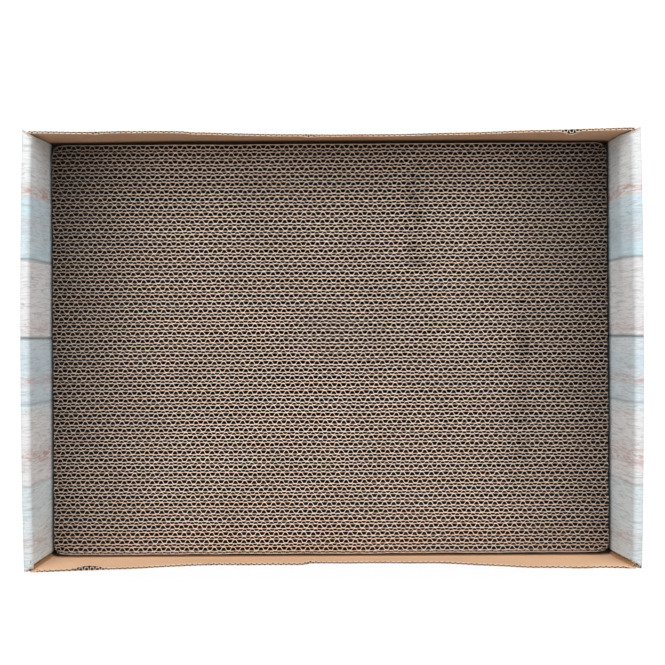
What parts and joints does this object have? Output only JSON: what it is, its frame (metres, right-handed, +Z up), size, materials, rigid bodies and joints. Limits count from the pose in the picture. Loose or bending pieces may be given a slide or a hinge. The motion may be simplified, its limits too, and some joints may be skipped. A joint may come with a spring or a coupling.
{
  "type": "cardboard cat scratcher",
  "caption": "Open corrugated tray with roll-over end walls that holds a lift-out pad of glued corrugated sheets, flutes open upwards, for a cat to scratch.",
  "frame": {"origin": "middle of the tray's underside, on the surface that it stands on", "axes": "+X to the right along the tray's length, +Y from the front wall to the back wall, +Z up"},
  "size_m": [0.4836, 0.3504, 0.075],
  "materials": {
    "pad_board": "matte",
    "printed_board": "matte",
    "kraft_board": "matte",
    "kraft_liner": "matte",
    "kraft_fluting": "matte",
    "printed_liner": "matte"
  },
  "bodies": {
    "tray": {"back_left_flap": "kraft_board", "back_right_flap": "kraft_board", "back_wall_fluting": "kraft_fluting", "back_wall_inner_liner": "kraft_liner", "back_wall_printed_liner": "printed_liner", "base_panel": "kraft_board", "front_left_flap": "kraft_board", "front_right_flap": "kraft_board", "front_wall_fluting": "kraft_fluting", "front_wall_inner_liner": "kraft_liner", "front_wall_printed_liner": "printed_liner", "left_inner_wall": "printed_board", "left_outer_wall": "printed_board", "left_rim": "printed_board", "right_inner_wall": "printed_board", "right_outer_wall": "printed_board", "right_rim": "printed_board"},
    "pad": {"pad_closing_liner": "pad_board", "pad_sheet_55": "pad_board", "pad_sheets_01_02": "pad_board", "pad_sheets_03_04": "pad_board", "pad_sheets_05_06": "pad_board", "pad_sheets_07_08": "pad_board", "pad_sheets_09_10": "pad_board", "pad_sheets_11_12": "pad_board", "pad_sheets_13_14": "pad_board", "pad_sheets_15_16": "pad_board", "pad_sheets_17_18": "pad_board", "pad_sheets_19_20": "pad_board", "pad_sheets_21_22": "pad_board", "pad_sheets_23_24": "pad_board", "pad_sheets_25_26": "pad_board", "pad_sheets_27_28": "pad_board", "pad_sheets_29_30": "pad_board", "pad_sheets_31_32": "pad_board", "pad_sheets_33_34": "pad_board", "pad_sheets_35_36": "pad_board", "pad_sheets_37_38": "pad_board", "pad_sheets_39_40": "pad_board", "pad_sheets_41_42": "pad_board", "pad_sheets_43_44": "pad_board", "pad_sheets_45_46": "pad_board", "pad_sheets_47_48": "pad_board", "pad_sheets_49_50": "pad_board", "pad_sheets_51_52": "pad_board", "pad_sheets_53_54": "pad_board"}
  },
  "joints": [
    {"name": "pad_lift", "type": "slide", "parent": "tray", "child": "pad", "axis": [0, 0, 1], "range_m": [0, 0.08]}
  ]
}
